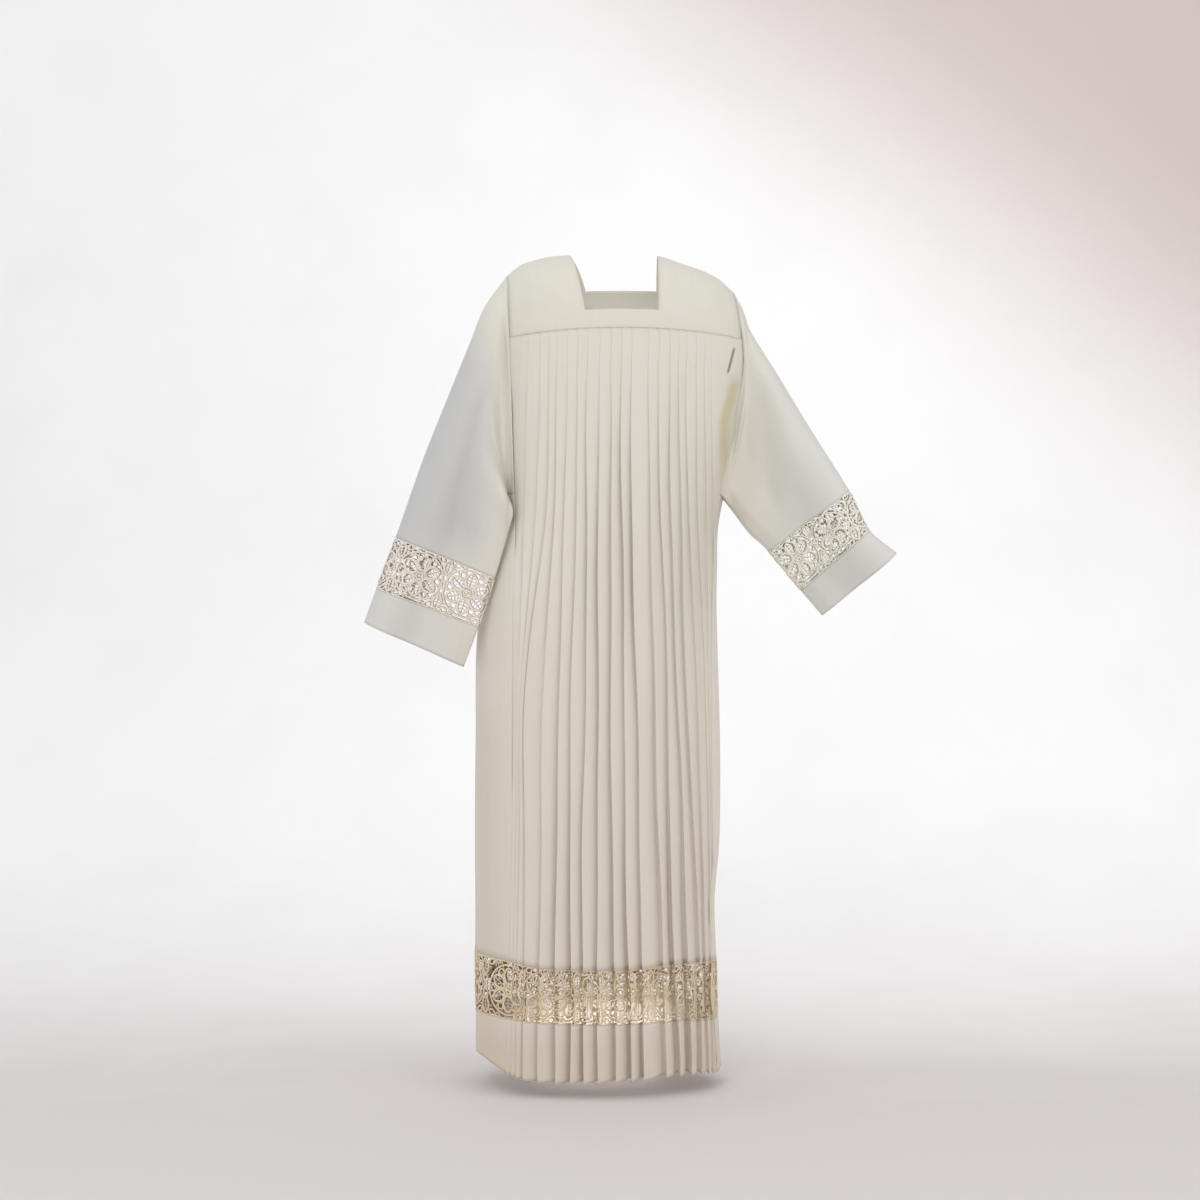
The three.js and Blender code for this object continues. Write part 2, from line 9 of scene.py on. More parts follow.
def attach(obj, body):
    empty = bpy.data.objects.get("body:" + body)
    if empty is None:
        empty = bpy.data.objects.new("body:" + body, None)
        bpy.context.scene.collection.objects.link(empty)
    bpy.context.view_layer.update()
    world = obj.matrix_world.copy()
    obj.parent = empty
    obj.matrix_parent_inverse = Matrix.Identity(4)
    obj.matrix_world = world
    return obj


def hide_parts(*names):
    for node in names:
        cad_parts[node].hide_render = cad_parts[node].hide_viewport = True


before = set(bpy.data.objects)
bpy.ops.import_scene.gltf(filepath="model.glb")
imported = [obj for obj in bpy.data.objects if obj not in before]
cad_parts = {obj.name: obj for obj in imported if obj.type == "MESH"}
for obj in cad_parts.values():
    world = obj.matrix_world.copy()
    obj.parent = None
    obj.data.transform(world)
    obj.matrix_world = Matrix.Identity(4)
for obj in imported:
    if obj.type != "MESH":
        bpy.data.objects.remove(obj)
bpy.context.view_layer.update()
scene = bpy.context.scene
front, back = -1, 1  # the wearer faces -Y
mm = 0.001


# Camera, light and studio

studio = {
    "cameraAt": (-0.0366, -4.8, -0.54), "tilt": 0.931, "lens": 78.69,
    "sensor": 36, "farClip": 40, "sky": (0.93, 0.94, 0.96, 1), "skyPower": 0.92,
    "floorZ": -1.503, "wallY": 1.9, "wallRound": 0.9, "nearY": -5.5, "paperLong": 12, "paperHalf": 6,
}


def setCamera():
    data = bpy.data.cameras.new("camera")
    data.lens, data.sensor_width, data.clip_end = studio["lens"], studio["sensor"], studio["farClip"]
    camera = bpy.data.objects.new("camera", data)
    camera.location = studio["cameraAt"]
    camera.rotation_euler = (radians(90 - studio["tilt"]), 0, 0)
    scene.collection.objects.link(camera)
    scene.camera = camera


def addLight(name, at, aim, size, power, colour, spread=180, tall=None):
    data = bpy.data.lights.new(name, "AREA")
    data.shape, data.size, data.size_y = "RECTANGLE", size, tall or size
    data.energy, data.color = power, colour
    data.spread = radians(spread)
    light = bpy.data.objects.new(name, data)
    light.location, light.visible_camera = at, False
    light.rotation_euler = (Vector(aim) - Vector(at)).to_track_quat("-Z", "Y").to_euler()
    scene.collection.objects.link(light)


setCamera()
addLight("keyLight", (-1.0, -3.6, 1.9), (0, 0, -0.5), 1.8, 32, (1.0, 0.985, 0.945))
addLight("fillLight", (2.2, -2.9, 0.1), (0, 0, -0.9), 2.2, 13, (1.0, 0.97, 0.94))
addLight("sideLight", (-2.9, -1.6, 0.2), (0, 0, -0.6), 2.2, 1.2, (0.9, 0.95, 1.0))
addLight("wallLight", (0.4, 0.4, -0.1), (0.55, 1.9, -0.4), 1.8, 5.2, (1.0, 1.0, 1.0))
# Small lights inside the hem and the neck, for what thin cloth lets through
addLight("hemGlow", (-0.04, -0.05, -1.415), (-0.04, 0.16, -1.41), 0.28, 0.11, (1.0, 0.97, 0.96), 50, 0.04)
addLight("floorGlow", (-0.04, 0, -1.4), (-0.04, 0.001, -1.5), 0.22, 0.06, (1.0, 0.95, 0.94), 180, 0.14)
addLight("neckGlow", (-0.01, -0.05, -0.13), (-0.01, 0.1, -0.09), 0.1, 0.1, (1.0, 0.97, 0.93))
world = bpy.data.worlds.new("studio")
scene.world = world
world.use_nodes = True
sky = world.node_tree.nodes["Background"]
sky.inputs["Color"].default_value, sky.inputs["Strength"].default_value = studio["sky"], studio["skyPower"]
scene.view_settings.view_transform = "Standard"  # keeps the backdrop white


# Shader arithmetic


class Wire:  # a node's output, with sums written as expressions
    def __init__(self, dye, socket):
        self.dye, self.socket = dye, socket

    def math(self, operation, *others):
        return self.dye.add("Math", {"operation": operation}, self, *others)

    def __add__(self, other):
        return self.math("ADD", other)

    def __sub__(self, other):
        return self.math("SUBTRACT", other)

    def __mul__(self, other):
        return self.math("MULTIPLY", other)

    def __rsub__(self, other):
        return self.dye.add("Math", {"operation": "SUBTRACT"}, other, self)

    __radd__, __rmul__ = __add__, __mul__

    def between(self, low, high):  # 0 below low and 1 above high
        return self.dye.add("MapRange", {"interpolation_type": "SMOOTHSTEP"}, self, low, high, 0, 1)


class Dye:  # one material and its nodes
    def __init__(self, name, **constants):
        self.material = bpy.data.materials.new(name)
        self.material.use_nodes = True
        self.tree = self.material.node_tree
        self.shader = self.tree.nodes["Principled BSDF"]
        for socket, value in constants.items():
            self.set(self.shader, socket.replace("_", " "), value)

    def set(self, node, socket, value):
        if isinstance(value, Wire):
            self.tree.links.new(value.socket, node.inputs[socket])
        else:
            node.inputs[socket].default_value = value

    def add(self, kind, settings, *values, output=0, **named):
        node = self.tree.nodes.new("ShaderNode" + kind)
        for key, value in settings.items():
            setattr(node, key, value)
        for i, value in enumerate(values):
            self.set(node, i, value)
        for socket, value in named.items():
            self.set(node, socket.replace("_", " "), value)
        return Wire(self, node.outputs[output])

    def noise(self, vector, scale, detail=2, roughness=0.5):
        return self.add("TexNoise", {}, Vector=vector, Scale=scale, Detail=detail, Roughness=roughness)

    def stretch(self, vector, scale):
        return self.add("VectorMath", {"operation": "MULTIPLY"}, vector, scale)

    def mix(self, share, first, second):
        made = self.add("Mix", {"data_type": "RGBA"}, output=2)
        node = made.socket.node
        for socket, value in ((0, share), (6, first), (7, second)):
            self.set(node, socket, value)
        return made

    def split(self, vector):
        node = self.tree.nodes.new("ShaderNodeSeparateXYZ")
        self.set(node, 0, vector)
        return [Wire(self, socket) for socket in node.outputs]

    def feed(self, **sockets):
        for socket, value in sockets.items():
            self.set(self.shader, socket.replace("_", " "), value)

    def bump(self, height, strength, distance):
        self.feed(Normal=self.add("Bump", {}, Strength=strength, Distance=distance, Height=height))


def makeIvoryCloth():
    look = {
        "ivory": (0.705, 0.685, 0.605, 1), "cream": (0.735, 0.70, 0.60, 1), "rose": (0.715, 0.64, 0.57, 1),
        "cool": (0.625, 0.63, 0.62, 1), "shadow": (0.535, 0.535, 0.535, 1), "hem": (0.65, 0.57, 0.465, 1),
        "lit": (0.84, 0.77, 0.69, 1), "sideShade": (0.64, 0.575, 0.45, 1), "tan": (0.6, 0.5, 0.31, 1),
        "slitShadow": (0.2, 0.18, 0.13, 1), "streak": (0.5, 0.46, 0.4, 1), "thread": 0.0007, "slub": 26,
    }
    dye = Dye("ivoryCloth", Roughness=0.8, Sheen_Weight=0.22, Sheen_Roughness=0.45, Specular_IOR_Level=0.3)
    place = dye.add("TexCoord", {}, output=3)
    cut = dye.add("UVMap", {"uv_map": "cut"})
    u, v, _ = dye.split(cut)
    x, y, height = dye.split(place)
    aside = (x + 0.015).math("ABSOLUTE").between(0.21, 0.36)  # the sleeves take the cooler light of the room
    blotch = dye.noise(dye.stretch(place, (1, 1, 0.6)), 5.5, 3).between(0.36, 0.66)
    warmer = dye.noise(dye.stretch(place, (1, 1, 0.5)), 3.1, 2).between(0.45, 0.75)
    low = 1 - height.between(-1.42, -0.12)  # the light that the floor sends back is warmer
    ahead = 1 - y.between(-0.04, 0)
    # painted shade: a tan band in the fold beside the left armhole, where the cloth lies in shade
    valleyShade = height.between(-0.31, -0.21) * 0.019 + 0.187  # beside the left armhole
    valleyShade = 1 - (x - valleyShade).math("ABSOLUTE").between(0.002, 0.016)
    valleyShade = valleyShade * height.between(-0.43, -0.33) * (1 - height.between(-0.235, -0.205)) * ahead
    # painted shadow: a dark thin line that stands for the shadow in the deep slit at the left armhole
    slitShadow = 1 - (x - 0.2065 - (height + 0.159) * 0.27).math("ABSOLUTE").between(0.0008, 0.0036)
    slitShadow = slitShadow * height.between(-0.213, -0.203) * (1 - height.between(-0.168, -0.158)) * ahead
    sleeve = (0 - x).between(0.2, 0.28)  # the right one, in shade
    sleeve = sleeve * (1 - (height + 0.34).math("ABSOLUTE").between(0.13, 0.27))
    # painted shade on the lower right side panel and painted light on the lower left one
    rightSideShade = (0 - x).between(0.19, 0.24) * (1 - height.between(-0.86, -0.76))
    leftSideLight = x.between(0.14, 0.18) * (1 - x.between(0.187, 0.2)) * (1 - height.between(-0.55, -0.45))
    streak = dye.noise(dye.stretch(cut, (420, 9, 1)), 1, 3, 0.6)
    colour = dye.mix(blotch * 0.6, look["ivory"], look["cream"])
    colour = dye.mix(warmer * 0.25 + low * 0.85, colour, look["rose"])
    colour = dye.mix(aside * 0.6, colour, look["cool"])
    colour = dye.mix(sleeve * 0.85, colour, look["shadow"])
    colour = dye.mix(rightSideShade * 0.4, colour, look["sideShade"])
    colour = dye.mix(leftSideLight * 0.5, colour, look["lit"])
    # painted shade: the hem band on the front is darker and warmer, more so toward the wearer's right
    hem = (1 - height.between(-1.43, -1.34)) * (1 - y.between(0, 0.1))
    hem = hem * ((0 - x).between(0.12, 0.24) * 0.4 + 0.6)
    colour = dye.mix(hem, colour, look["hem"])
    # the painted tan shade of the valley, then the painted shadow of the slit over it
    colour = dye.mix(slitShadow * 0.9, dye.mix(valleyShade * 0.76, colour, look["tan"]), look["slitShadow"])
    shade = dye.mix(streak.between(0.3, 0.75) * 0.07, colour, look["streak"])
    weave = (u * (2 * pi / look["thread"])).math("SINE") * (v * (2 * pi / look["thread"])).math("SINE")
    slub = dye.noise(dye.stretch(cut, (900, 220, 1)), 1, 3, 0.6)
    drape = dye.noise(cut, look["slub"], 3, 0.5)
    dye.bump(weave * 0.16 + slub * 0.5 + drape * 1.6, 0.35, 0.0007)
    dye.feed(Base_Color=shade, Roughness=slub * 0.16 + 0.72)
    return dye.material


def makeGoldenLace():
    look = {
        "gold": (0.75, 0.56, 0.35, 1), "goldCrownLit": (0.89, 0.75, 0.545, 1),
        "peach": (0.86, 0.76, 0.635, 1), "peachCrownLit": (0.92, 0.855, 0.755, 1),
        "straw": (0.93, 0.895, 0.76, 1), "deep": (0.46, 0.33, 0.21, 1), "wrap": 0.00085,
    }
    dye = Dye("goldenLace", Roughness=0.6, Sheen_Weight=0.3, Sheen_Roughness=0.4, Specular_IOR_Level=0.3)
    place = dye.add("TexCoord", {}, output=3)
    cord = dye.add("UVMap", {"uv_map": "cord"})
    u, v, _ = dye.split(cord)
    crown = dye.add("Attribute", {"attribute_name": "crown"}, output=2)
    x, _, z = dye.split(place)
    high = z.between(-1.2, -0.75)  # the sleeves' bands are paler than the skirt's
    patch = dye.noise(place, 13, 2).between(0.38, 0.64)
    fine = dye.noise(place, 300, 2)
    # painted highlight on the cords' raised middles and painted shade at their edges; painted light on the
    # lace toward the wearer's left (x above 0.05); the noise patches are the thread's own uneven tone
    edge = dye.mix(high, look["gold"], look["peach"])
    middle = dye.mix(high, look["goldCrownLit"], look["peachCrownLit"])
    colour = dye.mix(crown * 0.7 + patch * 0.3 + x.between(0.05, 0.18) * 0.3, edge, middle)
    colour = dye.mix(high * x.between(0, 0.1) * 0.7, colour, look["straw"])  # the left sleeve's
    colour = dye.mix(fine.between(0.5, 0.8) * 0.22, colour, look["deep"])
    wrap = ((u + v * 0.7) * (2 * pi / look["wrap"])).math("SINE")
    dye.bump(wrap * 0.5 + fine * 0.6, 0.5, 0.0005)
    dye.feed(Base_Color=colour, Roughness=fine * 0.3 + 0.5)
    return dye.material


def makeSewingThread():
    look = {"dark": (0.68, 0.58, 0.50, 1), "pale": (0.76, 0.68, 0.61, 1)}
    dye = Dye("sewingThread", Roughness=0.55, Sheen_Weight=0.2, Specular_IOR_Level=0.4)
    place = dye.add("TexCoord", {}, output=3)
    grain = dye.noise(place, 900, 2)
    dye.feed(Base_Color=dye.mix(grain, look["dark"], look["pale"]))
    dye.bump(grain, 0.3, 0.0003)
    return dye.material


def makeStudioFloor():
    look = {"near": (0.70, 0.665, 0.66, 1), "far": (0.94, 0.94, 0.94, 1), "corner": (0.66, 0.575, 0.55, 1)}
    dye = Dye("studioFloor", Roughness=0.9, Specular_IOR_Level=0.15)
    place = dye.add("TexCoord", {}, output=3)
    x, y, z = dye.split(place)
    # painted shade: the paper is darker near the camera and lighter toward the wall
    nearShadeFade = (y + z * 1.2).between(-2.4, 0.6)
    mottle = dye.noise(place, 4, 3).between(0.3, 0.8) * 0.1
    colour = dye.mix(nearShadeFade - mottle, look["near"], look["far"])
    corner = (x * 0.6 + z * 0.8).between(0.35, 1.3)  # painted shade: the paper's upper corner is darker
    dye.feed(Base_Color=dye.mix(corner, colour, look["corner"]))
    paper, clear = Wire(dye, dye.shader.outputs["BSDF"]), dye.add("BsdfTransparent", {})
    behind = dye.add("NewGeometry", {}, output="Backfacing")  # the paper doesn't hide the garment's back
    dye.set(dye.tree.nodes["Material Output"], "Surface", dye.add("MixShader", {}, behind, paper, clear))
    return dye.material


ivoryCloth, goldenLace, sewingThread = makeIvoryCloth(), makeGoldenLace(), makeSewingThread()


def addStudioFloor():
    bm = bmesh.new()
    bmesh.ops.create_grid(bm, x_segments=2, y_segments=64, size=1)
    bend, wall, near = studio["wallRound"], studio["wallY"], studio["nearY"]
    flat = wall - near - bend
    for vert in bm.verts:
        along = (vert.co.y + 1) / 2 * studio["paperLong"]  # from the near edge over the floor, then up
        if along < flat:
            y, z = along + near, 0
        elif along < flat + bend * pi / 2:
            turn = (along - flat) / bend
            y, z = wall - bend + bend * sin(turn), bend * (1 - cos(turn))
        else:
            y, z = wall, bend + along - flat - bend * pi / 2
        vert.co = (vert.co.x * studio["paperHalf"], y, studio["floorZ"] + z)
    mesh = bpy.data.meshes.new("studioFloor")
    bm.to_mesh(mesh)
    bm.free()
    mesh.materials.append(makeStudioFloor())
    for face in mesh.polygons:
        face.use_smooth = True
    obj = bpy.data.objects.new("studioFloor", mesh)
    scene.collection.objects.link(obj)


addStudioFloor()


# The garment's form: the same curves as the solids, in millimetres

bodyForm = {
    "z": [-143, -200, -312, -425, -490, -560, -617, -700, -900, -1060, -1165, -1270, -1370, -1480],
    "right": [-213, -211, -208, -202, -207, -232, -249, -260, -264, -265, -265, -266, -266, -266],
    "left": [231, 232, 214, 190, 179, 178, 177, 178, 181, 179, 171, 175, 178, 184],
    "front": [118, 122, 128, 133, 135, 137, 139, 141, 147, 152, 156, 160, 164, 168],
    "back": [104, 107, 112, 118, 121, 124, 126, 130, 138, 145, 150, 155, 159, 163],
    "frontRight": [-200, -198, -195, -192, -190, -191, -192, -192, -192, -194, -196, -199, -202, -207],
    "frontLeft": [221, 222, 204, 180, 170, 169, 168, 168, 169, 170, 163, 167, 170, 177],
    "backRight": [-200, -198, -195, -192, -195, -218, -233, -243, -246, -246, -246, -246, -246, -247],
    "backLeft": [221, 222, 204, 180, 164, 150, 140, 130, 128, 126, 120, 124, 127, 132],
    "roundness": 2.3, "underarmZ": -425,
}
levels = {
    "x": [-266, -225, -187, -143, 0, 110, 184],
    "laceTop": [-1256, -1259, -1264, -1272, -1274, -1268, -1271],
    "laceBottom": [-1361, -1363, -1366, -1369, -1370, -1368, -1377],
    "hem": [-1429, -1452, -1468, -1474, -1471, -1465, -1474],
}
pleats = {
    "z": [-129, -438, -794, -1060, -1441], "sewnCloser": 0.96,
    "chest": [-172, -149, -133, -117, -98, -79, -60, -38, -17, 3, 21, 52, 72, 92, 108, 123, 141, 156, 169],
    "hip": [-184, -179, -171, -140, -110, -87, -63, -40, -16, 6, 29, 63, 84, 102, 120, 138, 154, 160, 165],
    "knee": [-187, -181, -171, -140, -115, -90, -67, -42, -15, 10, 33, 68, 90, 113, 134, 149, 161, 165, 168],
    "hem": [-196, -187, -175, -150, -116, -90, -67, -40, -10, 18, 43, 81, 105, 130, 148, 160, 169, 172, 175],
    "sewn": [1, 1, 1, 1, 1, 1, 1, 1, 1, 1, 1, 1, 1, 1, 1, 0.9, 0.7, 0.5, 0.35],
    "kept": [0.1, 0.15, 0.4, 0.7, 1, 1, 1, 1, 1, 1, 1, 1, 1, 1, 0.8, 0.5, 0.25, 0.1, 0.1],
    "deepest": 8.5, "deepestSpread": 2.3, "deepestZ": -520, "deepestReach": 220,
    "deeper": 0.8, "furtherOver": 0.6,  # what the deepest pleats gain
    "fadeFrom": 500, "fadeTo": 750, "toothProud": -1, "toothSunk": 3,
    "columns": 13,  # of the fine mesh, to a pleat
    "settleFrom": 150, "settleTo": 320,  # sewn straight above, free to wander below
    "wander": 1.5, "wanderLong": 140, "wanderShort": 61, "swell": 0.16, "swellLong": 190,
    "turnLong": 2.1, "turnShort": 4.7, "turnSwell": 1.7,  # from one pleat's wave to the next one's
}
pleatProfile = [  # shares of a pleat's width, overhang, depth and tooth, from its edge into its fold and out
    (0.08, 0, 0.01, 0), (0.34, 0, 0.10, 0.2), (0.66, 0, 0.38, 0.5), (0.93, 0, 0.82, 1),
    (1, 1, 1.02, 1), (1, 0.9, 0.7, 1), (1, 0.2, 0.22, 0),
]
pleatFold = {
    "z": [-143, -215, -438, -794, -1060, -1480],
    "depth": [0.7, 1.8, 6.8, 9.5, 13, 20],
    "overhang": [0.2, 0.6, 2.5, 3.2, 4, 5],
}
yoke = {
    "shoulderX": [-207, -190, -174, -115, 66, 111, 150, 180, 205],
    "shoulderZ": [-27, -12, -3, 10, 10, -4, -17, -33, -56],
    "seamZ": -129, "seamSag": 16, "seamReach": 222,
    "neckFrontZ": -98, "neckBackZ": -46, "neckRightAtShoulder": -96, "neckRightAtChest": -63, "neckLeft": 68,
    "sideLines": 18, "bottomLines": 76, "rows": 18, "creasedFrom": 0.12, "creasedTo": 0.97,
    "cut": (0.445, 0.21), "clothDrop": 0.17,  # in metres
}
sleeveForm = {
    "Right": {
        "share": [0, 0.08, 0.17, 0.34, 0.51, 0.74, 0.88, 1],
        "topX": [-207, -247, -272, -316, -359, -407, -441, -463],
        "topY": [0, -1, -3, -12, -25, -42, -52, -60],
        "topZ": [-27, -82, -143, -253, -363, -503, -595, -657],
        "lowX": [-202, -206, -206, -193, -202, -226, -256, -283],
        "lowY": [0, -4, -30, -68, -64, -69, -66, -63],
        "lowZ": [-424, -424, -425, -456, -494, -577, -666, -738],
        "arm": [50, 52, 53, 52, 49, 44, 41, 40],
        "hang": [44, 38, 32, 25, 20, 16, 15, 15],
    },
    "Left": {
        "share": [0, 0.06, 0.12, 0.27, 0.5, 0.74, 0.88, 1],
        "topX": [205, 223, 236, 280, 343, 401, 431, 474],
        "topY": [0, -1, -5, -35, -100, -185, -240, -280],
        "topZ": [-56, -88, -124, -200, -315, -422, -491, -532],
        "lowX": [190, 194, 200, 212, 236, 266, 321, 355],
        "lowY": [0, -3, -7, -22, -48, -80, -130, -175],
        "lowZ": [-424, -431, -443, -466, -499, -529, -599, -642],
        "arm": [48, 50, 52, 55, 56, 53, 50, 48],
        "hang": [44, 38, 33, 29, 25, 22, 21, 20],
    },
    "laceTop": 0.74, "laceBottom": 0.88, "blend": 0.3, "foldHalf": 5, "foldRounding": 25, "armToCloth": 2.6,
}


def mixed(a, b, share):
    return a + (b - a) * share


def eased(x, low, high):
    t = min(max((x - low) / (high - low), 0), 1)
    return t * t * (3 - 2 * t)


def read(table, key, at, column):  # a column's value on a smooth curve through the table's rows
    keys, values = table[key], table[column]
    if keys[0] > keys[-1]:
        keys, values = keys[::-1], values[::-1]
    last = len(keys) - 1
    x = min(max(at, keys[0]), keys[last])
    i = 0
    while i < last - 1 and x > keys[i + 1]:
        i += 1
    j, k, span = max(i - 1, 0), min(i + 2, last), keys[i + 1] - keys[i]
    t = (x - keys[i]) / span
    start = (values[i + 1] - values[j]) / (keys[i + 1] - keys[j]) * span
    end = (values[k] - values[i]) / (keys[k] - keys[i]) * span
    return (
        values[i] * (2 * t**3 - 3 * t * t + 1) + start * (t**3 - 2 * t * t + t)
        + values[i + 1] * (3 * t * t - 2 * t**3) + end * (t**3 - t * t)
    )


@lru_cache(maxsize=None)
def outlineAt(z):
    right, left, ahead, behind = (read(bodyForm, "z", z, name) for name in ("right", "left", "front", "back"))
    return (right + left) / 2, (left - right) / 2, ahead, behind


def angleAt(face, x, z):
    middle, half, _, _ = outlineAt(z)
    across = min(max((x - middle) / half, -1), 1)
    return face * acos(copysign(abs(across) ** (bodyForm["roundness"] / 2), across))


def outlinePoint(angle, z):
    middle, half, ahead, behind = outlineAt(z)
    x, y = (copysign(abs(value) ** (2 / bodyForm["roundness"]), value) for value in (cos(angle), sin(angle)))
    return Vector((middle + half * x, y * (ahead if y < 0 else behind), z))


def outlineTangent(angle, z):
    step = 0.02
    along = outlinePoint(angle + step, z) - outlinePoint(angle - step, z)
    along.z = 0
    return along.normalized()


def seamX(face, side, z):
    return read(bodyForm, "z", z, ("front" if face == front else "back") + side)


def seamPlace(face, side, heightAt):
    x = seamX(face, side, heightAt(0))
    for _ in range(4):  # x and height settle on each other
        x = seamX(face, side, heightAt(x))
    return x, heightAt(x), angleAt(face, x, heightAt(x))


def pleatShare(k, z):
    line = {"z": pleats["z"], "x": [pleats["chest"][k] * pleats["sewnCloser"]] + [
        pleats[name][k] for name in ("chest", "hip", "knee", "hem")]}
    right = seamX(front, "Right", z)
    return (read(line, "z", z, "x") - right) / (seamX(front, "Left", z) - right)


def pull(points, t):  # a point on the smooth curve that follows a line of control points
    i = min(int(t), len(points) - 4)
    f = t - i
    weights = ((1 - f) ** 3, 3 * f**3 - 6 * f * f + 4, -3 * f**3 + 3 * f * f + 3 * f + 1, f**3)
    return [sum(w * p[n] for w, p in zip(weights, points[i:i + 4])) / 6 for n in range(4)]


# Creases: the face, half width and depth of each, and its line of (x, z).
# A negative depth is a ridge. The ends of each crease fade.
creaseFade = 0.22  # share of its length
creaseBorder = {"pleated": -10, "yoke": -10, "Right": -20}  # the y where the back's creases take over
creases = {
    "pleated": [
        (front, 4.5, 5, [(-197, -190), (-193, -330), (-189, -460), (-191, -560)]),
        (front, 16, 5, [(-150, -640), (-160, -900), (-176, -1240)]),
        (front, 11, -4, [(-172, -560), (-178, -760), (-186, -1000)]),
        (front, 13, -4, [(46, -330), (54, -560), (60, -860)]),
        (front, 12, 5, [(150, -520), (152, -800), (150, -1180)]),
        (front, 15, 3, [(120, -210), (100, -330), (92, -470)]),
        (front, 15, 3, [(-120, -190), (-104, -300), (-92, -450)]),
        (back, 17, 6, [(-160, -560), (-170, -840), (-190, -1220)]),
        (back, 15, -5, [(40, -380), (52, -640), (56, -980)]),
        (back, 14, 4, [(96, -240), (84, -420), (80, -620)]),
        (back, 14, 4, [(-92, -220), (-84, -380), (-90, -560)]),
    ],
    "Right": [
        (front, 4.5, 8, [(-207, -60), (-206, -170), (-203, -300), (-199, -430), (-203, -520)]),
        (front, 7, -4, [(-217, -62), (-222, -150), (-224, -270), (-222, -350)]),
        (front, 13, 7, [(-236, -210), (-262, -330), (-288, -425), (-302, -545)]),
        (front, 15, -4, [(-222, -330), (-246, -420), (-262, -520)]),
        (front, 16, 4, [(-330, -330), (-356, -440), (-384, -560)]),
        (front, 12, 3, [(-352, -600), (-362, -660), (-372, -696)]),
        (back, 8, 5, [(-212, -70), (-222, -180), (-226, -300)]),
        (back, 15, 7, [(-240, -190), (-268, -320), (-292, -440), (-312, -560)]),
        (back, 15, -5, [(-300, -300), (-336, -430), (-366, -560)]),
    ],
    "Left": [
        (front, 9, 12, [(213, -120), (208, -215), (200, -290), (192, -380)]),
        (front, 3.5, 8, [(214, -140), (200, -206)]),
        (front, 8, -4, [(226, -110), (224, -200), (220, -300), (216, -400)]),
        (front, 16, 7, [(232, -170), (256, -290), (270, -400), (276, -480)]),
        (front, 14, -4, [(262, -190), (296, -300), (318, -400)]),
        (front, 13, 4, [(300, -400), (330, -470), (352, -520)]),
        (back, 9, 7, [(214, -110), (212, -230), (208, -350)]),
        (back, 15, 7, [(240, -180), (272, -310), (292, -440)]),
        (back, 14, -5, [(290, -250), (330, -360), (352, -440)]),
    ],
    "yoke": [
        (front, 10, 3, [(-180, -22), (-178, -70), (-184, -118)]),
        (front, 10, -2, [(-160, -40), (-120, -60), (-84, -88)]),
        (front, 11, 2.5, [(92, -30), (120, -62), (160, -92)]),
        (front, 8, 3, [(178, -50), (188, -90), (196, -120)]),
        (front, 4.5, 2.4, [(-182, -96), (-156, -101), (-124, -97)]),
        (front, 3.5, 2, [(-180, -112), (-154, -115), (-126, -111)]),
        (front, 4.5, 2.4, [(126, -98), (154, -103), (182, -106)]),
        (front, 3.5, 2, [(130, -113), (156, -117), (180, -120)]),
        (back, 12, 3, [(-150, -20), (-90, -64), (-30, -84)]),
        (back, 12, 3, [(150, -40), (90, -70), (40, -88)]),
    ],
}


def fold(where, point):  # moves a point of the cloth in or out by the creases that pass it
    x, y, z = point
    border = creaseBorder.get(where)
    if where == "Left":
        border = read(sleeveForm["Left"], "topX", max(x, sleeveForm["Left"]["topX"][0]), "topY") - 4
    face = front if y < border else back
    inward = 0
    for side, width, depth, line in creases[where]:
        if side != face:
            continue
        best, share = inf, 0
        for i, ((ax, az), (bx, bz)) in enumerate(zip(line, line[1:])):
            run = (bx - ax) ** 2 + (bz - az) ** 2
            t = min(max(((x - ax) * (bx - ax) + (z - az) * (bz - az)) / run, 0), 1)
            far = hypot(x - mixed(ax, bx, t), z - mixed(az, bz, t))
            if far < best:
                best, share = far, (i + t) / (len(line) - 1)
        if best < width * 3:
            fade = eased(share, 0, creaseFade) * eased(1 - share, 0, creaseFade)
            inward += depth * exp(-((best / width) ** 2)) * fade
    return Vector((x, y - face * inward, z))


